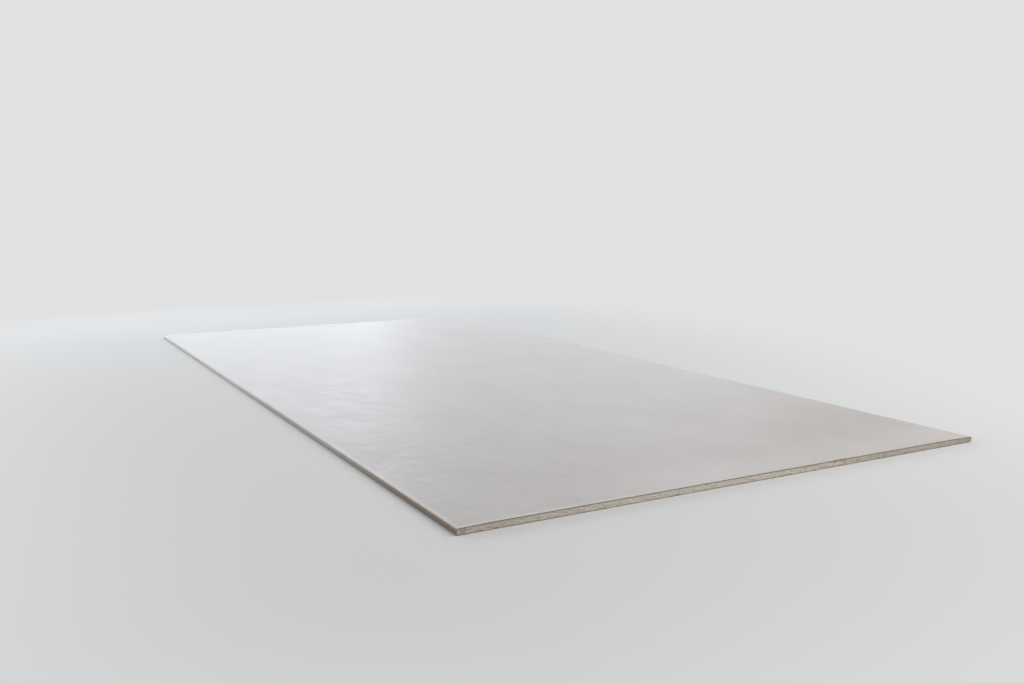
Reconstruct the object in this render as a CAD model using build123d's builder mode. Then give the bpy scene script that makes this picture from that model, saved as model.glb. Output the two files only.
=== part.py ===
from build123d import *
import os

# Drywall sheet, lying flat with its face side up. Millimetres.
# X runs across the width, Y along the length and Z up through the thickness.
# The origin is the middle of the back, on the surface that the sheet lies on.

# Overall size of the sheet: 4 ft wide, 8 ft long and 1/2 in thick
sheet_width = 1219.2
sheet_length = 2438.4
sheet_thickness = 12.7

# Papers
face_paper_thickness = 0.35
back_paper_thickness = 0.30
face_paper_return = 25.0
back_paper_setback = 9.0

# Long edges: a shallow taper on the face side, so that a taped joint finishes flush
taper_width = 57.0
taper_depth = 1.2
taper_blend_radius = 400.0
edge_radius = 3.0

# Heights and places that follow from them
half_width = sheet_width / 2
wrap_bottom = back_paper_thickness
edge_top = sheet_thickness - taper_depth
taper_start = half_width - taper_width
fold_radius = min(edge_radius, 0.45 * (edge_top - wrap_bottom))
core_foot_width = sheet_width - 2 * face_paper_return

# Section of the board inside the outer surface of the face paper
with BuildSketch(Plane.XZ) as board_section:
    with BuildLine():
        Polyline(
            (half_width, wrap_bottom),
            (half_width, edge_top),
            (taper_start, sheet_thickness),
            (-taper_start, sheet_thickness),
            (-half_width, edge_top),
            (-half_width, wrap_bottom),
            close=True,
        )
    make_face()
    taper_corners = board_section.vertices().group_by(Axis.Y)[-1]
    fillet(taper_corners, radius=taper_blend_radius)
    left_corners = board_section.vertices().group_by(Axis.X)[0]
    right_corners = board_section.vertices().group_by(Axis.X)[-1]
    fillet(left_corners + right_corners, radius=fold_radius)

# Gypsum core: it fills the folded face paper, and between the returns it reaches down to the back paper
with BuildPart() as gypsum_core:
    with BuildSketch(Plane.XZ) as core_section:
        offset(board_section.sketch_local, amount=-face_paper_thickness)
        with Locations((0, wrap_bottom)):
            Rectangle(core_foot_width, face_paper_thickness, align=(Align.CENTER, Align.MIN))
    extrude(amount=sheet_length / 2, both=True)

# Face paper: one sheet over the face, folded round both long edges and back under the core
with BuildPart() as face_paper:
    with BuildSketch(Plane.XZ) as wrap_section:
        add(board_section.sketch_local)
        add(core_section.sketch_local, mode=Mode.SUBTRACT)
    extrude(amount=sheet_length / 2, both=True)

# Back paper: flat over the back and over the returns, a little short of each long edge
with BuildPart() as back_paper:
    with BuildSketch(Plane.XY):
        Rectangle(sheet_width - 2 * back_paper_setback, sheet_length)
    extrude(amount=back_paper_thickness)

os.makedirs("parts", exist_ok=True)

gypsum_core.part.label = "gypsum_core"
export_step(gypsum_core.part, "parts/gypsum_core.step")

face_paper.part.label = "face_paper"
export_step(face_paper.part, "parts/face_paper.step")

back_paper.part.label = "back_paper"
export_step(back_paper.part, "parts/back_paper.step")
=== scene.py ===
import math

import bmesh
import bpy
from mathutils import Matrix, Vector


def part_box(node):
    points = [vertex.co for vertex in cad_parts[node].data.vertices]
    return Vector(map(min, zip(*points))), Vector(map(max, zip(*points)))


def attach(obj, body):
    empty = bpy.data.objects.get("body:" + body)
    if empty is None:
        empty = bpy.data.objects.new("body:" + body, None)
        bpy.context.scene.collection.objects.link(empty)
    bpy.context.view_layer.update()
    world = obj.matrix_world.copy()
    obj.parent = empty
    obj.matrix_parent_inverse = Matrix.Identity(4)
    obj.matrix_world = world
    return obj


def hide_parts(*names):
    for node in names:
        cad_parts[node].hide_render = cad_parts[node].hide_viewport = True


# A drywall sheet that lies face up: a gypsum core, a face paper folded round both long edges,
# and a flat back paper. Metres: X runs across the sheet, Y along it, Z up from its back.
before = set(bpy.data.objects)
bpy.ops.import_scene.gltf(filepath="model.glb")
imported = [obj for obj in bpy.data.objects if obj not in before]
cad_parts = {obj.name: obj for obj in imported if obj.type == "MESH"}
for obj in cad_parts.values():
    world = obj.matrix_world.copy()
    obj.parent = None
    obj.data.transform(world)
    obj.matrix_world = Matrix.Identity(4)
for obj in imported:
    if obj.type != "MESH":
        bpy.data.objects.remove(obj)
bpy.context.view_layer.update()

coreLow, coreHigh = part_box("gypsum_core")
wrapLow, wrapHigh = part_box("face_paper")
backLow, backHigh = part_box("back_paper")

board = {
    "halfWidth": wrapHigh.x,
    "halfLength": wrapHigh.y,
    "top": wrapHigh.z,
    "wrapBottom": wrapLow.z,
    "facePaper": wrapHigh.z - coreHigh.z,
    "backPaper": backHigh.z - backLow.z,
    "taperWidth": 0.057,
    "taperDepth": 0.0012,
    "blendRadius": 0.4,
    "blendSteps": 4,
    "foldRadius": 0.003,
    "foldSteps": 8,
    "paperReturn": 0.025,
}
taperSlope = board["taperDepth"] / board["taperWidth"]
taperStart = board["halfWidth"] - board["taperWidth"]
footEdge = board["halfWidth"] - board["paperReturn"]

# A small knock on the top arris of the near end, towards the right. It is at its deepest over the flat
# share of its width, and the crumbles and the paper's depth are shares of its depth.
knock = {
    "from": 0.195,
    "to": 0.240,
    "flat": 0.35,
    "reach": 0.012,
    "depth": 0.0018,
    "coreCrumble": 0.5,
    "paperDepth": 0.7,
    "paperCrumble": 0.6,
    "crumbSize": 0.004,
    "dip": 0.0004,
}

# The gypsum is denser along both long edges, up to a parting line that bows towards the middle
denseEdge = {"width": 0.0162, "bow": 120.0, "middle": 0.007}


# Modelling helpers

# places closer than this count as one, and faces that meet at less than the angle are shaded smooth
tolerance = {"cut": 1e-6, "merge": 1e-5}
smoothAngle = math.radians(30)


def restAll():
    if bpy.context.mode != "OBJECT":
        bpy.ops.object.mode_set(mode="OBJECT")
    bpy.ops.object.select_all(action="DESELECT")


def makeActive(piece):
    restAll()
    piece.select_set(True)
    bpy.context.view_layer.objects.active = piece


def editPiece(piece):
    makeActive(piece)
    bpy.ops.object.mode_set(mode="EDIT")
    bpy.ops.mesh.select_all(action="SELECT")


def addGrid(name, size, cells, place, turn=(0, 0, 0)):
    # a flat grid of faces, whose size, place and turn are in its mesh
    restAll()
    bpy.ops.mesh.primitive_grid_add(
        x_subdivisions=cells[0],
        y_subdivisions=cells[1],
        size=1,
        location=place,
        rotation=turn,
    )
    piece = bpy.context.object
    piece.name = name
    piece.scale = (*size, 1)
    bpy.ops.object.transform_apply(location=True, rotation=True, scale=True)
    return piece


def pick(piece, kind, test):
    # in edit mode, selects the edges or faces that lie where the test says
    bpy.ops.mesh.select_mode(type=kind)
    bpy.ops.mesh.select_all(action="DESELECT")
    mesh = bmesh.from_edit_mesh(piece.data)
    if kind == "EDGE":
        for edge in mesh.edges:
            if all(test(corner.co) for corner in edge.verts):
                edge.select_set(True)
    else:
        for face in mesh.faces:
            if test(face.calc_center_median()):
                face.select_set(True)
    bmesh.update_edit_mesh(piece.data)


def cut(place, normal, clear=False):
    # cuts what is selected along a plane, and drops what lies on the normal's side if asked
    across = Vector(normal).normalized()
    bpy.ops.mesh.bisect(plane_co=place, plane_no=across, clear_outer=clear, threshold=tolerance["cut"])


def applyModifier(piece, kind, **settings):
    makeActive(piece)
    added = piece.modifiers.new(kind.title(), kind)
    for name, value in settings.items():
        setattr(added, name, value)
    bpy.ops.object.modifier_apply(modifier=added.name)


def weigh(piece, name, weightAt):
    # a vertex group whose weights follow from the vertices' places
    group = piece.vertex_groups.new(name=name)
    for vertex in piece.data.vertices:
        weight = weightAt(vertex.co)
        if weight > 0:
            group.add([vertex.index], min(weight, 1.0), "REPLACE")
    return group.name


def lumps(name, size, depth, basis="IMPROVED_PERLIN", stops=((0.3, 0.0), (0.7, 1.0))):
    # a cloud texture for a Displace modifier; each stop is a place on the noise and its level
    texture = bpy.data.textures.new(name, "CLOUDS")
    texture.noise_basis = basis
    texture.noise_scale = size
    texture.noise_depth = depth
    texture.use_color_ramp = True
    for stop, (place, level) in zip(texture.color_ramp.elements, stops):
        stop.position = place
        stop.color = (level, level, level, 1.0)
    return texture


def push(piece, direction, distance, group, texture=None):
    # moves the group's vertices along an axis, by up to the distance
    settings = {
        "direction": direction,
        "strength": distance,
        "mid_level": 0.0,
        "vertex_group": group,
        "texture_coords": "LOCAL",
    }
    if texture:
        settings["texture"] = texture
    applyModifier(piece, "DISPLACE", **settings)


def fade(value, start, end):
    # 1 at start, 0 at end and straight between them
    return max(0.0, min(1.0, (end - value) / (end - start)))


def knockAt(place):
    # how much of the knock reaches a place near the end
    middle = (knock["from"] + knock["to"]) / 2
    half = (knock["to"] - knock["from"]) / 2
    across = fade(abs(place.x - middle), knock["flat"] * half, half)
    return across * fade(place.y + board["halfLength"], 0.0, knock["reach"])


def pastParting(x, z):
    # how far a place lies on the long edge's side of the parting line; takes numbers or wires
    rise = z - denseEdge["middle"]
    return abs(x) - (board["halfWidth"] - denseEdge["width"]) - denseEdge["bow"] * (rise * rise)


def edgeProfile(inset):
    # the right long edge in section: from the taper's start round both folds to the return's end
    angle = math.atan(taperSlope)
    foldX = board["halfWidth"] - board["foldRadius"]
    slopeTop = board["top"] - (board["taperWidth"] - board["foldRadius"]) * taperSlope
    upperZ = slopeTop - board["foldRadius"] / math.cos(angle)
    lowerZ = board["wrapBottom"] + board["foldRadius"]
    blendX = taperStart - board["blendRadius"] * math.tan(angle / 2)
    blendZ = board["top"] - board["blendRadius"]

    def arc(centreX, centreZ, radius, fromAngle, toAngle, steps):
        turns = [fromAngle + (toAngle - fromAngle) * step / steps for step in range(steps + 1)]
        return [(centreX + radius * math.sin(turn), centreZ + radius * math.cos(turn)) for turn in turns]

    return (
        arc(blendX, blendZ, board["blendRadius"] - inset, 0, angle, board["blendSteps"])
        + arc(foldX, upperZ, board["foldRadius"] - inset, angle, math.pi / 2, board["foldSteps"])
        + arc(foldX, lowerZ, board["foldRadius"] - inset, math.pi / 2, math.pi, board["foldSteps"])
        + [(footEdge, board["wrapBottom"] + inset)]
    )


def finishPiece(piece, node, material):
    makeActive(piece)
    bpy.ops.object.shade_smooth_by_angle(angle=smoothAngle)
    piece.vertex_groups.clear()
    piece.data.materials.clear()
    piece.data.materials.append(material)
    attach(piece, "root")
    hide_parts(node)
    print(piece.name, "built with", len(piece.data.polygons), "faces")


# Shader maths

bumpDistance = 0.001


class Wire:
    # an output socket; arithmetic on it adds Math nodes
    def __init__(self, graph, socket):
        self.graph = graph
        self.socket = socket

    def __add__(self, other):
        return self.graph.maths("ADD", self, other)

    __radd__ = __add__

    def __sub__(self, other):
        return self.graph.maths("SUBTRACT", self, other)

    def __rsub__(self, other):
        return self.graph.maths("SUBTRACT", other, self)

    def __mul__(self, other):
        return self.graph.maths("MULTIPLY", self, other)

    __rmul__ = __mul__

    def __abs__(self):
        return self.graph.maths("ABSOLUTE", self, 0.0)

    def orAbove(self, other):
        return self.graph.maths("MAXIMUM", self, other)

    def ramp(self, start, end):
        # 0 at start, 1 at end and a smooth step between; start may be the larger one
        return self.graph.node(
            "ShaderNodeMapRange",
            {"interpolation_type": "SMOOTHSTEP"},
            {"Value": self, "From Min": start, "From Max": end},
        )


class Graph:
    # a node tree; every node in it comes from the one method
    def __init__(self, tree):
        self.tree = tree
        self.tree.nodes.clear()

    def node(self, kind, settings=None, sockets=None, output=0):
        made = self.tree.nodes.new(kind)
        for name, value in (settings or {}).items():
            setattr(made, name, value)
        for name, value in (sockets or {}).items():
            if isinstance(value, Wire):
                self.tree.links.new(value.socket, made.inputs[name])
            else:
                made.inputs[name].default_value = value
        return Wire(self, made.outputs[output]) if made.outputs else None

    def maths(self, operation, first, second):
        return self.node("ShaderNodeMath", {"operation": operation}, {0: first, 1: second})

    def mix(self, factor, first, second):
        # a Mix node has its two colours at inputs 6 and 7, and the mixed one at output 2
        sockets = {0: factor, 6: first, 7: second}
        return self.node("ShaderNodeMix", {"data_type": "RGBA"}, sockets, output=2)

    def mixShaders(self, factor, first, second):
        return self.node("ShaderNodeMixShader", sockets={0: factor, 1: first, 2: second})

    def seen(self):
        # 1 for what the camera sees straight, in a gloss or through glass, and 0 for light
        ways = ("Is Camera Ray", "Is Glossy Ray", "Is Transmission Ray")
        camera, glossy, clear = (self.node("ShaderNodeLightPath", output=way) for way in ways)
        return camera.orAbove(glossy).orAbove(clear)


class Finish(Graph):
    # a surface whose patterns lie on object coordinates
    def __init__(self, name):
        self.material = bpy.data.materials.new(name)
        self.material.use_nodes = True
        super().__init__(self.material.node_tree)
        self.place = self.node("ShaderNodeTexCoord", output="Object")
        self.facing = self.node("ShaderNodeTexCoord", output="Normal")

    def along(self, axis, vector=None):
        return self.node("ShaderNodeSeparateXYZ", sockets={"Vector": vector or self.place}, output=axis)

    def region(self, x, y):
        # 1 where both ramps have reached their second place, and 0 before their first
        return self.along("X").ramp(*x) * self.along("Y").ramp(*y)

    def cutEnd(self):
        # 1 on what faces along the sheet, and 0 on what faces up, down or sideways
        return abs(self.along("Y", self.facing)).ramp(0.6, 0.8)

    def scaled(self, size):
        scale = tuple(1 / length for length in size)
        return self.node("ShaderNodeMapping", sockets={"Vector": self.place, "Scale": scale})

    def grain(self, size, detail, roughness=0.5, warp=0.0):
        # noise from -1 to 1, whose lumps have about the size given along X, Y and Z
        noise = self.node(
            "ShaderNodeTexNoise",
            sockets={
                "Vector": self.scaled(size),
                "Scale": 1.0,
                "Detail": detail,
                "Roughness": roughness,
                "Distortion": warp,
            },
        )
        return noise * 2 - 1

    def flecks(self, grain, levels):
        # 1 where a grain has passed the second level, and 0 before the first
        return self.grain(**grain).ramp(*levels)

    def specks(self, spacing, radius, share, wobble):
        # round spots, at most one in each cell of the spacing and only in a share of the cells
        cells = {"Vector": self.scaled((spacing, spacing, spacing)), "Scale": 1.0}
        distance = self.node("ShaderNodeTexVoronoi", sockets=cells, output="Distance")
        lottery = self.node("ShaderNodeTexVoronoi", sockets=cells, output="Color")
        drawn = self.node("ShaderNodeSeparateColor", sockets={"Color": lottery})
        spot = (distance + wobble).ramp(radius / spacing, 0.4 * radius / spacing)
        return spot * drawn.ramp(1 - share, 1.001 - share)

    def surface(self, color, roughness, height, specular):
        bump = self.node("ShaderNodeBump", sockets={"Height": height, "Distance": bumpDistance})
        shader = self.node(
            "ShaderNodeBsdfPrincipled",
            sockets={
                "Base Color": color,
                "Roughness": roughness,
                "Normal": bump,
                "Specular IOR Level": specular,
            },
        )
        self.node("ShaderNodeOutputMaterial", sockets={"Surface": shader})
        return self.material


def tint(color):
    return (*color, 1.0)


def insetFrom(edge, insets):
    # the places that lie so far inside a long edge or an end, on its positive side
    return [edge - inset for inset in insets]


def fromNearEnd(insets):
    # the places along Y that lie so far from the near end
    return [inset - board["halfLength"] for inset in insets]


# A brown stain in the knock: a spot on the arris, small ones on the core, a faint wash and two thin lines

stainReach = (0.006, 0.0015)

stains = (
    {"x": 0.204, "z": 0.0110, "wide": 0.0062, "high": 0.0036, "strength": 0.90},
    {"x": 0.231, "z": 0.0054, "wide": 0.0036, "high": 0.0024, "strength": 0.60},
    {"x": 0.266, "z": 0.0048, "wide": 0.0050, "high": 0.0022, "strength": 0.45},
    {"x": 0.220, "z": 0.0070, "wide": 0.0210, "high": 0.0080, "strength": 0.14},
    {"x": 0.218, "z": 0.0122, "wide": 0.0200, "high": 0.0014, "strength": 0.55},
    {"x": 0.2005, "z": 0.0070, "wide": 0.0016, "high": 0.0085, "strength": 0.50},
)


def stainAt(x, y, z, wobble):
    reach = y.ramp(*fromNearEnd(stainReach))
    total = None
    for stain in stains:
        across = (x - stain["x"]) * (1 / stain["wide"]) + wobble * 0.5
        up = (z - stain["z"]) * (1 / stain["high"])
        spot = (across * across + up * up).ramp(1.0, 0.1) * stain["strength"]
        total = spot if total is None else total.orAbove(spot)
    return total * reach


# Face paper: light grey and calendered smooth; the folded long edges are browner, pale with a painted
# sheen towards the far end and dark with painted shade towards the near end

facePaperLook = {
    "light": (0.610, 0.571, 0.552),
    "dark": (0.434, 0.398, 0.381),
    # a painted highlight along the arrises
    "rim": (0.582, 0.526, 0.482),
    # the fold: a pale painted sheen towards the far end, its browner paper, and a dark brown painted
    # shade towards the near end
    "edgeSheen": (0.810, 0.765, 0.710),
    "edge": (0.520, 0.465, 0.410),
    "edgeShade": (0.250, 0.180, 0.125),
    "ply": (0.270, 0.225, 0.180),
    "stain": (0.230, 0.145, 0.088),
    "fleck": (0.30, 0.25, 0.20),
    "roughness": 0.48,
    "edgeRoughness": 0.42,
    "specular": 0.5,
    # patterns
    "cloud": {"size": (0.15, 0.21, 0.15), "detail": 2},
    "mottle": {"size": (0.02, 0.03, 0.02), "detail": 3},
    "fibre": {"size": (0.0009, 0.0024, 0.0009), "detail": 3, "roughness": 0.6, "warp": 0.8},
    "ripple": {"size": (0.036, 0.030, 0.036), "detail": 1},
    "cockle": {"size": (0.15, 0.22, 0.15), "detail": 1},
    "fineFlecks": {
        "grain": {"size": (0.0010, 0.0016, 0.0010), "detail": 1, "warp": 0.8},
        "levels": (0.34, 0.60),
    },
    "broadFlecks": {
        "grain": {"size": (0.0024, 0.0040, 0.0024), "detail": 2, "warp": 1.5},
        "levels": (0.46, 0.60),
    },
    # parts of the face with painted shade (near left), painted light (front strip) and ripples, whose
    # tone there is a painted ripple of the sheen: where each starts and is full
    "nearLeftShade": {"x": (0.02, -0.36), "y": (-0.30, -0.72)},
    "frontStripLight": {"x": (-0.42, -0.20), "y": fromNearEnd((0.16, 0.03))},
    "rippledSheen": {"x": (-0.10, -0.36), "y": (0.75, 0.10)},
    # insets at which the rims and the fold start and are full, and the same along Y for the side rims'
    # painted highlight and the fold's painted sheen and painted shade
    "endRimHighlight": (0.016, 0.005),
    "sideRimHighlight": (0.014, 0.004),
    "sideRimHighlightAlong": (-0.2, -0.9),
    "fold": (0.0022, 0.0004),
    "edgeSheenAlong": (0.35, -0.45),
    "edgeShadeAlong": (-0.50, -1.12),
}


def facePaperFinish():
    look = facePaperLook
    f = Finish("facePaper")
    x, y, z = f.along("X"), f.along("Y"), f.along("Z")
    cloud = f.grain(**look["cloud"])
    mottle = f.grain(**look["mottle"])
    fibre = f.grain(**look["fibre"])
    ripple = f.grain(**look["ripple"])
    cockle = f.grain(**look["cockle"])
    nearLeftShade = f.region(**look["nearLeftShade"])
    frontStripLight = f.region(**look["frontStripLight"])
    rippledSheen = f.region(**look["rippledSheen"])

    # the tone is paler towards the right and along the front strip, painted light, and darker near the
    # left, painted shade
    tone = 0.5 + x * 0.20 - nearLeftShade * 0.14 + frontStripLight * 0.34
    # random cloud, mottle and fibre tone, and in the rippled part a ripple tone that paints ripples in
    # the sheen, besides their relief and gloss
    tone = tone + cloud * 0.25 + mottle * 0.13 + fibre * 0.40 + ripple * rippledSheen * 0.25
    color = f.mix(tone, tint(look["dark"]), tint(look["light"]))

    # a painted highlight along both cut ends and along the near part of both long arrises
    endRimHighlight = (abs(y) + mottle * 0.002).ramp(*insetFrom(board["halfLength"], look["endRimHighlight"]))
    sideRimHighlight = abs(x).ramp(*insetFrom(board["halfWidth"], look["sideRimHighlight"]))
    rim = endRimHighlight.orAbove(sideRimHighlight * y.ramp(*look["sideRimHighlightAlong"]))
    color = f.mix(rim * 0.8, color, tint(look["rim"]))

    flecks = f.flecks(**look["fineFlecks"]).orAbove(f.flecks(**look["broadFlecks"]))
    color = f.mix(flecks * 0.35, color, tint(look["fleck"]))

    fold = abs(x).ramp(*insetFrom(board["halfWidth"], look["fold"]))
    # on the fold, a painted sheen towards the far end and painted shade towards the near end
    sheenToEdge = f.mix(y.ramp(*look["edgeSheenAlong"]), tint(look["edgeSheen"]), tint(look["edge"]))
    edgeShade = y.ramp(*look["edgeShadeAlong"]) + mottle * 0.15
    color = f.mix(fold * 0.95, color, f.mix(edgeShade, sheenToEdge, tint(look["edgeShade"])))
    color = f.mix(stainAt(x, y, z, mottle), color, tint(look["stain"]))
    color = f.mix(f.cutEnd(), color, tint(look["ply"]))

    roughness = look["roughness"] - fold * (look["roughness"] - look["edgeRoughness"])
    roughness = roughness + mottle * 0.04 + fibre * 0.05 + ripple * rippledSheen * 0.08
    height = fibre * 0.014 + mottle * 0.015 + ripple * (0.20 + rippledSheen * 0.35) + cockle * 0.25
    return f.surface(color, roughness, height, look["specular"])


# Back paper: coarse grey-brown recycled stock with dark and pale fibres

backPaperLook = {
    "light": (0.425, 0.384, 0.332),
    "dark": (0.275, 0.240, 0.200),
    "ply": (0.240, 0.205, 0.170),
    "darkFleck": (0.16, 0.135, 0.115),
    "paleFleck": (0.62, 0.58, 0.52),
    "roughness": 0.85,
    "specular": 0.4,
    # patterns
    "cloud": {"size": (0.22, 0.4, 0.22), "detail": 3},
    "mottle": {"size": (0.008, 0.014, 0.008), "detail": 3},
    "fibre": {"size": (0.001, 0.003, 0.001), "detail": 3, "roughness": 0.65, "warp": 0.8},
    "darkFlecks": {
        "grain": {"size": (0.0016, 0.0030, 0.0016), "detail": 2, "warp": 1.2},
        "levels": (0.36, 0.58),
    },
    "paleFlecks": {
        "grain": {"size": (0.0020, 0.0028, 0.0020), "detail": 2, "warp": 1.5},
        "levels": (-0.40, -0.60),
    },
}


def backPaperFinish():
    look = backPaperLook
    f = Finish("backPaper")
    cloud = f.grain(**look["cloud"])
    mottle = f.grain(**look["mottle"])
    fibre = f.grain(**look["fibre"])
    tone = 0.5 + cloud * 0.25 + mottle * 0.4 + fibre * 0.9
    color = f.mix(tone, tint(look["dark"]), tint(look["light"]))
    color = f.mix(f.flecks(**look["darkFlecks"]) * 0.6, color, tint(look["darkFleck"]))
    color = f.mix(f.flecks(**look["paleFlecks"]) * 0.5, color, tint(look["paleFleck"]))
    color = f.mix(f.cutEnd(), color, tint(look["ply"]))
    roughness = look["roughness"] + mottle * 0.05
    return f.surface(color, roughness, fibre * 0.02 + mottle * 0.03, look["specular"])


# Gypsum: beige grey and crumbly, tan in the dense long edges, with painted shade in its pits and hollows,
# a dark line beside the papers that is partly painted shade, painted light and shade along the end, and a
# painted highlight beside each nose

gypsumLook = {
    "light": (0.950, 0.868, 0.785),
    "dark": (0.560, 0.490, 0.425),
    "pitShade": (0.340, 0.285, 0.235),
    "seam": (0.290, 0.240, 0.195),
    "dense": (0.560, 0.460, 0.360),
    "noseHighlight": (0.860, 0.790, 0.710),
    "stain": (0.265, 0.165, 0.098),
    "roughness": 0.92,
    "specular": 0.3,
    # patterns
    "smear": {"size": (0.013, 0.013, 0.0030), "detail": 2},
    "patch": {"size": (0.06, 0.06, 0.02), "detail": 1},
    "mottle": {"size": (0.0035, 0.0035, 0.0018), "detail": 2},
    "grit": {"size": (0.0008, 0.0008, 0.0008), "detail": 2},
    "smallBubbles": {"spacing": 0.0019, "radius": 0.00045, "share": 0.6},
    "bigBubbles": {"spacing": 0.0036, "radius": 0.0009, "share": 0.5},
    # the end has painted light, palest left of its middle, and painted shade over three stretches: first
    # and full X, and level
    "paintedLightMiddle": {"middle": -0.1, "reach": (0.36, 0.08), "level": 0.20},
    "paintedShadeStretches": ((0.16, 0.36, 0.32), (-0.44, -0.57, 0.25), (0.46, 0.58, 0.25)),
    # distances at which each thing starts and is full, from the surface or the line that it follows
    "denseFrom": (-0.0012, 0.0004),
    "noseOuter": (0.0012, 0.0024),
    "noseInner": (0.0052, 0.0040),
    "topSeam": (0.0024, 0.0008),
    "bottomSeam": (0.0016, 0.0004),
    "sideSeam": (0.0016, 0.0005),
    "partingSeam": (0.0014, 0.0004),
    "hollowShadeDepth": (0.0010, 0.0026),
}


def gypsumFinish():
    look = gypsumLook
    f = Finish("gypsum")
    x, y, z = f.along("X"), f.along("Y"), f.along("Z")
    smear = f.grain(**look["smear"])
    patch = f.grain(**look["patch"])
    mottle = f.grain(**look["mottle"])
    grit = f.grain(**look["grit"])

    # painted light and painted shade along the end
    paintedLightMiddle = look["paintedLightMiddle"]
    tone = 0.72 + abs(x - paintedLightMiddle["middle"]).ramp(*paintedLightMiddle["reach"]) * paintedLightMiddle["level"]
    for first, full, level in look["paintedShadeStretches"]:
        tone = tone - x.ramp(first, full) * level
    tone = tone + smear * 0.50 + patch * 0.10 + mottle * 0.28 + grit * 0.16
    color = f.mix(tone, tint(look["dark"]), tint(look["light"]))

    past = pastParting(x, z) + mottle * 0.0006
    dense = past.ramp(*look["denseFrom"])
    color = f.mix(dense * (0.55 - x * 0.35), color, tint(look["dense"]))
    inset = coreHigh.x - abs(x)
    # a pale streak down the end beside each long edge's nose, a painted highlight
    nose = inset.ramp(*look["noseInner"]) * inset.ramp(*look["noseOuter"])
    color = f.mix(nose * 0.6, color, tint(look["noseHighlight"]))

    ragged = grit * 0.06 + mottle * 0.05
    bubbles = f.specks(**look["smallBubbles"], wobble=ragged)
    bubbles = bubbles.orAbove(f.specks(**look["bigBubbles"], wobble=ragged))
    # the bubbles' pits are painted dark, painted shade
    color = f.mix(bubbles * 0.6, color, tint(look["pitShade"]))

    # a dark line beside the face and back papers, the sides and the parting: partly the bond's own colour
    # and partly painted shade under the paper's lip and in the grooves
    belowPaper = coreHigh.z - (abs(x) - taperStart).orAbove(0.0) * taperSlope - z
    seam = belowPaper.ramp(*look["topSeam"]).orAbove((z - coreLow.z).ramp(*look["bottomSeam"]))
    seam = seam.orAbove(inset.ramp(*look["sideSeam"]))
    seam = seam.orAbove(abs(past).ramp(*look["partingSeam"]) * 0.6)
    color = f.mix(seam * (0.75 + mottle * 0.3), color, tint(look["seam"]))
    color = f.mix(stainAt(x, y, z, mottle), color, tint(look["stain"]))
    # painted shade in the hollows, darker where the end lies deeper
    depth = board["halfLength"] - abs(y)
    color = f.mix(depth.ramp(*look["hollowShadeDepth"]) * 0.45, color, tint(look["pitShade"]))

    height = grit * 0.10 + mottle * 0.10 - bubbles * 0.35
    return f.surface(color, look["roughness"] + grit * 0.04, height, look["specular"])


# Gypsum core: both cut ends are fine grids, trimmed to the board's section and crumbled

coreShape = {
    "cellWidth": 0.0008,
    "cellHeight": 0.00046,
    "stretch": 2.2,
    # depths
    "recess": 0.0002,
    "seam": 0.0004,
    "parting": 0.0005,
    "crumble": 0.0006,
    "grit": 0.0002,
    "hollow": 0.0011,
    "chip": 0.0009,
    # sizes of the lumps
    "crumbleSize": 0.0042,
    "gritSize": 0.0012,
    "hollowSize": 0.0042,
    "chipSize": 0.006,
    # where on their noise the hollows and the chips are cut, and to which level
    "hollowStops": ((0.10, 1.0), (0.50, 0.0)),
    "chipStops": ((0.5, 0.0), (0.7, 1.0)),
    # distances up to which each thing is full and at which it ends, from the surface or the line
    # that it follows
    "rimBand": (0, 0.0025),
    "seamBand": (0.0004, 0.0013),
    "struckBand": (0.001, 0.008),
    "partingBand": (0.0004, 0.0018),
}


def trimmedEnd():
    # the core's section at the near end, as a fine grid of faces, left in edit mode
    width, height = coreHigh.x - coreLow.x, coreHigh.z - coreLow.z
    core = addGrid(
        "gypsumCore",
        size=(width, height),
        cells=(round(width / coreShape["cellWidth"]), round(height / coreShape["cellHeight"])),
        place=(0, coreLow.y, (coreLow.z + coreHigh.z) / 2),
        turn=(math.pi / 2, 0, 0),
    )
    profile = edgeProfile(board["facePaper"])
    editPiece(core)
    for side in (-1, 1):
        for (fromX, fromZ), (toX, toZ) in zip(profile, profile[1:-1]):
            bpy.ops.mesh.select_all(action="SELECT")
            cut((side * fromX, 0, fromZ), (side * (fromZ - toZ), 0, toX - fromX), clear=True)
        bpy.ops.mesh.select_all(action="SELECT")
        cut((side * footEdge, 0, 0), (1, 0, 0))
        pick(core, "FACE", lambda place: place.x * side > footEdge)
        cut((0, 0, profile[-1][1]), (0, 0, -1), clear=True)
    return core


def squeeze(piece, factor):
    # clouds pushed in while a piece is squeezed across the sheet come out drawn sideways
    editPiece(piece)
    bpy.ops.transform.resize(value=(factor, 1, 1), center_override=(0, 0, 0))
    restAll()


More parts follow.
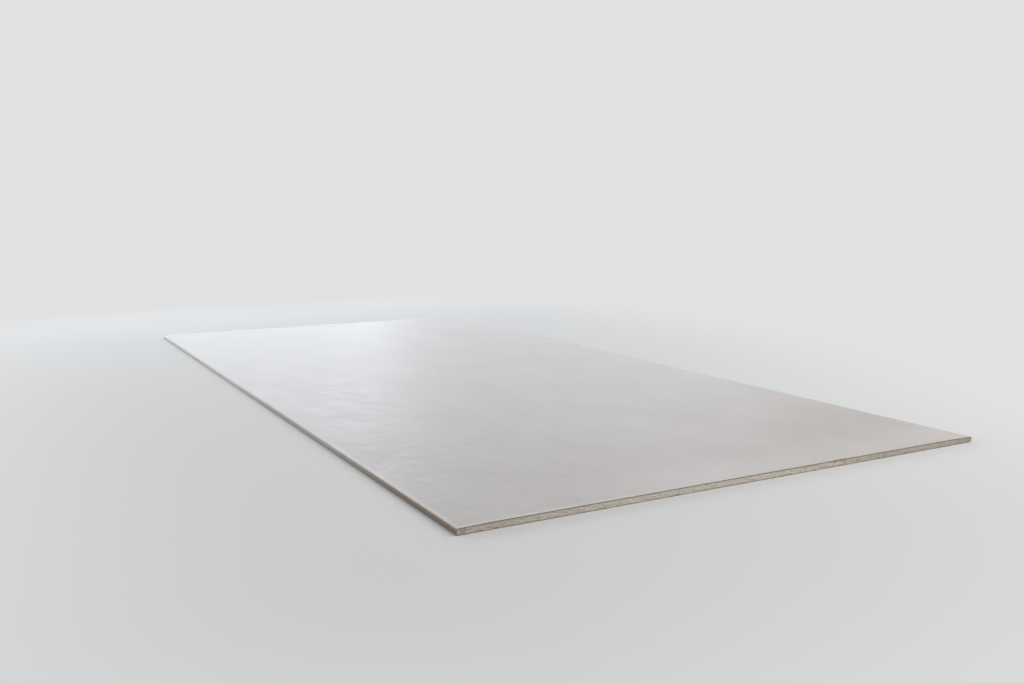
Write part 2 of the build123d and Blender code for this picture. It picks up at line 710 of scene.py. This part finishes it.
def crumbleEnd(core, end):
    shape = coreShape

    def onEnd(weightAt):
        return lambda place: weightAt(place) if place.y * end > 0 else 0.0

    def belowTop(place):
        return coreHigh.z - max(0.0, abs(place.x) - taperStart) * taperSlope - place.z

    def fromPapers(place):
        return min(belowTop(place), place.z - coreLow.z)

    def fromParting(place):
        return abs(pastParting(place.x, place.z))

    def struckAt(place):
        return knockAt(place) * fade(belowTop(place), *shape["struckBand"])

    face = weigh(core, "face", onEnd(lambda place: 1.0))
    rim = weigh(core, "rim", onEnd(lambda place: fade(fromPapers(place), *shape["rimBand"])))
    seam = weigh(core, "seam", onEnd(lambda place: fade(belowTop(place), *shape["seamBand"])))
    parting = weigh(core, "parting", onEnd(lambda place: fade(fromParting(place), *shape["partingBand"])))
    struck = weigh(core, "struck", struckAt)
    squeeze(core, 1 / shape["stretch"])
    push(core, "Y", -end * shape["recess"], face)
    push(core, "Y", -end * shape["seam"], seam)
    push(core, "Y", -end * shape["parting"], parting)
    push(core, "Y", -end * shape["crumble"], face, lumps("crumbs", shape["crumbleSize"], depth=3))
    push(core, "Y", -end * shape["grit"], face, lumps("grit", shape["gritSize"], depth=1))
    hollows = lumps("hollows", shape["hollowSize"], 1, "VORONOI_F1", shape["hollowStops"])
    push(core, "Y", -end * shape["hollow"], face, hollows)
    chips = lumps("chips", shape["chipSize"], depth=1, stops=shape["chipStops"])
    push(core, "Y", -end * shape["chip"], rim, chips)
    if end < 0:
        push(core, "Y", knock["depth"], struck)
        crumbs = lumps("struck", knock["crumbSize"], depth=2)
        push(core, "Y", knock["coreCrumble"] * knock["depth"], struck, crumbs)
    squeeze(core, shape["stretch"])
    core.vertex_groups.clear()


def buildCore():
    core = trimmedEnd()
    bpy.ops.mesh.select_all(action="SELECT")
    bpy.ops.mesh.extrude_region_move(TRANSFORM_OT_translate={"value": (0, coreHigh.y - coreLow.y, 0)})
    bpy.ops.mesh.select_all(action="SELECT")
    bpy.ops.mesh.normals_make_consistent(inside=False)
    restAll()
    for end in (-1, 1):
        crumbleEnd(core, end)
    finishPiece(core, "gypsum_core", gypsumFinish())


# Papers: thin sheets with ragged cut ends

paperShape = {
    "cell": 0.001,
    "endRows": (0.0015, 0.004, 0.015),
    "endBand": 0.0002,
    "faceBand": 0.002,
    "fray": 0.0003,
    "fraySize": 0.009,
    "tooth": 0.0004,
    "toothSize": 0.0022,
}


def addEndRows():
    for inset in paperShape["endRows"]:
        for end in (-1, 1):
            bpy.ops.mesh.select_all(action="SELECT")
            cut((0, end * (board["halfLength"] - inset), 0), (0, 1, 0))


def frayEnds(paper):
    # the cut ends are a little ragged, always inside the sheet's length
    last = board["halfLength"] - paperShape["endBand"]
    for end in (-1, 1):
        edge = weigh(paper, "edge", lambda place: 1.0 if place.y * end > last else 0.0)
        push(paper, "Y", -end * paperShape["fray"], edge, lumps("fray", paperShape["fraySize"], depth=2))
        teeth = lumps("tooth", paperShape["toothSize"], depth=2)
        push(paper, "Y", -end * paperShape["tooth"], edge, teeth)


def strikePaper(paper):
    # the knock tears the paper back and presses it down
    face = board["top"] - paperShape["faceBand"]
    struck = weigh(paper, "struck", lambda place: knockAt(place) if place.z > face else 0.0)
    torn = lumps("torn", knock["crumbSize"], depth=2)
    push(paper, "Y", knock["paperDepth"] * knock["depth"], struck)
    push(paper, "Y", knock["paperCrumble"] * knock["depth"], struck, torn)
    push(paper, "Z", -knock["dip"], struck)


def buildFacePaper():
    # half of the outer skin, folded row by row round the right long edge and then mirrored
    profile = edgeProfile(0.0)
    startX, startZ = profile[0]
    paper = addGrid(
        "facePaper",
        size=(startX, 2 * board["halfLength"]),
        cells=(round(startX / paperShape["cell"]), 1),
        place=(startX / 2, 0, startZ),
    )
    editPiece(paper)
    pick(paper, "EDGE", lambda place: place.x > startX - tolerance["merge"])
    for (fromX, fromZ), (toX, toZ) in zip(profile, profile[1:]):
        steps = max(1, round(math.hypot(toX - fromX, toZ - fromZ) / paperShape["cell"]))
        for step in range(steps):
            shift = ((toX - fromX) / steps, 0, (toZ - fromZ) / steps)
            bpy.ops.mesh.extrude_edges_move(TRANSFORM_OT_translate={"value": shift})
    addEndRows()
    applyModifier(paper, "MIRROR", use_clip=True, merge_threshold=tolerance["merge"])
    applyModifier(paper, "SOLIDIFY", thickness=board["facePaper"], offset=-1, use_even_offset=True)
    frayEnds(paper)
    strikePaper(paper)
    finishPiece(paper, "face_paper", facePaperFinish())


def buildBackPaper():
    width, length = backHigh.x - backLow.x, backHigh.y - backLow.y
    paper = addGrid(
        "backPaper",
        size=(width, length),
        cells=(round(width / paperShape["cell"]), 1),
        place=(0, 0, backHigh.z),
    )
    editPiece(paper)
    addEndRows()
    applyModifier(paper, "SOLIDIFY", thickness=board["backPaper"], offset=-1, use_even_offset=True)
    frayEnds(paper)
    finishPiece(paper, "back_paper", backPaperFinish())


buildCore()
buildFacePaper()
buildBackPaper()

# Studio: a pale floor that fades into an even backdrop all round the sheet, a soft key and a fill from
# the front right, large cool panels behind the far end that the face reflects, and low ones on both sides

studio = {
    "floor": (0.80, 0.80, 0.80),
    "floorBounce": (0.36, 0.355, 0.35),
    "backdrop": (0.755, 0.76, 0.765),
    "ambient": 0.33,
    "ambientColor": (0.98, 0.99, 1.0),
    "fadeFrom": 0.08,
    "fadeTo": 1.15,
    "radius": 40.0,
}

lamps = {
    "keyLamp": {
        "kind": "SUN",
        "place": (1.93, -2.75, 4.97),
        "aim": (0, 0, 0),
        "settings": {"energy": 0.68, "angle": math.radians(45), "color": (1.0, 0.985, 0.96)},
    },
    "frontLamp": {
        "kind": "AREA",
        "place": (1.9, -2.4, 2.1),
        "aim": (0.3, -0.6, 0),
        "settings": {"shape": "DISK", "size": 1.6, "energy": 23, "color": (1.0, 0.98, 0.95)},
    },
    "panelLamp": {
        "kind": "AREA",
        "place": (-0.08, 3.7, 1.25),
        "aim": (-0.08, 0.0, 0.3),
        "settings": {
            "shape": "RECTANGLE",
            "size": 2.9,
            "size_y": 2.0,
            "energy": 51,
            "color": (0.79, 0.89, 1.0),
        },
    },
    "sideLamp": {
        "kind": "AREA",
        "place": (2.9, 4.0, 1.1),
        "aim": (0.3, 0.0, 0.3),
        "settings": {
            "shape": "RECTANGLE",
            "size": 3.4,
            "size_y": 1.9,
            "energy": 29.5,
            "color": (0.79, 0.88, 1.0),
        },
    },
    "leftLamp": {
        "kind": "AREA",
        "place": (-3.8, 2.3, 1.2),
        "aim": (-0.6, 0.4, 0.0),
        "settings": {
            "shape": "RECTANGLE",
            "size": 3.0,
            "size_y": 1.6,
            "energy": 64,
            "color": (0.94, 0.97, 1.0),
        },
    },
    "rightLamp": {
        "kind": "AREA",
        "place": (3.3, -1.2, 1.6),
        "aim": (0.5, -0.9, 0),
        "settings": {"shape": "DISK", "size": 2.0, "energy": 19, "color": (1.0, 0.99, 0.97)},
    },
}


def buildFloor():
    restAll()
    bpy.ops.mesh.primitive_circle_add(vertices=96, radius=studio["radius"], fill_type="NGON")
    floor = bpy.context.object
    floor.name = "studioFloor"
    f = Finish("studioFloor")
    across = (abs(f.along("X")) - board["halfWidth"]).orAbove(0.0)
    along = (abs(f.along("Y")) - board["halfLength"]).orAbove(0.0)
    distance = f.maths("SQRT", across * across + along * along, 0.0)
    fading = distance.ramp(studio["fadeFrom"], studio["fadeTo"])
    shown = f.node("ShaderNodeBsdfDiffuse", sockets={"Color": tint(studio["floor"])})
    bounce = f.node("ShaderNodeBsdfDiffuse", sockets={"Color": tint(studio["floorBounce"])})
    glow = f.node("ShaderNodeEmission", sockets={"Color": tint(studio["backdrop"]), "Strength": 1.0})
    mixed = f.mixShaders(f.seen(), bounce, f.mixShaders(fading, shown, glow))
    f.node("ShaderNodeOutputMaterial", sockets={"Surface": mixed})
    floor.data.materials.append(f.material)


def lightWorld():
    world = bpy.data.worlds.new("studioWorld")
    world.use_nodes = True
    bpy.context.scene.world = world
    g = Graph(world.node_tree)
    ambient = {"Color": tint(studio["ambientColor"]), "Strength": studio["ambient"]}
    soft = g.node("ShaderNodeBackground", sockets=ambient)
    plain = g.node("ShaderNodeBackground", sockets={"Color": tint(studio["backdrop"]), "Strength": 1.0})
    g.node("ShaderNodeOutputWorld", sockets={"Surface": g.mixShaders(g.seen(), soft, plain)})


def addLamp(name, lamp):
    data = bpy.data.lights.new(name, lamp["kind"])
    for setting, value in lamp["settings"].items():
        setattr(data, setting, value)
    made = bpy.data.objects.new(name, data)
    bpy.context.scene.collection.objects.link(made)
    made.location = lamp["place"]
    toAim = Vector(lamp["aim"]) - Vector(lamp["place"])
    made.rotation_euler = toAim.to_track_quat("-Z", "Y").to_euler()
    made.visible_camera = False


buildFloor()
lightWorld()
for name, lamp in lamps.items():
    addLamp(name, lamp)
print("studio lit")

# Camera: where the photographer stood, beyond the near left corner

cameraView = {
    "place": (-1.2415, -2.5012, 0.5095),
    "turn": 28.61,
    "tilt": 8.31,
    "focalPixels": 972.3,
    "shiftPixels": 17.0,
    "widthPixels": 1024,
    "clipStart": 0.01,
    "clipEnd": 200,
}


def placeCamera():
    data = bpy.data.cameras.new("camera")
    data.lens = cameraView["focalPixels"] * data.sensor_width / cameraView["widthPixels"]
    data.shift_x = cameraView["shiftPixels"] / cameraView["widthPixels"]
    data.clip_start = cameraView["clipStart"]
    data.clip_end = cameraView["clipEnd"]
    camera = bpy.data.objects.new("camera", data)
    bpy.context.scene.collection.objects.link(camera)
    camera.location = cameraView["place"]
    camera.rotation_euler = (math.radians(90 - cameraView["tilt"]), 0, -math.radians(cameraView["turn"]))
    bpy.context.scene.camera = camera


placeCamera()
bpy.context.scene.view_settings.view_transform = "Standard"
print("camera placed")
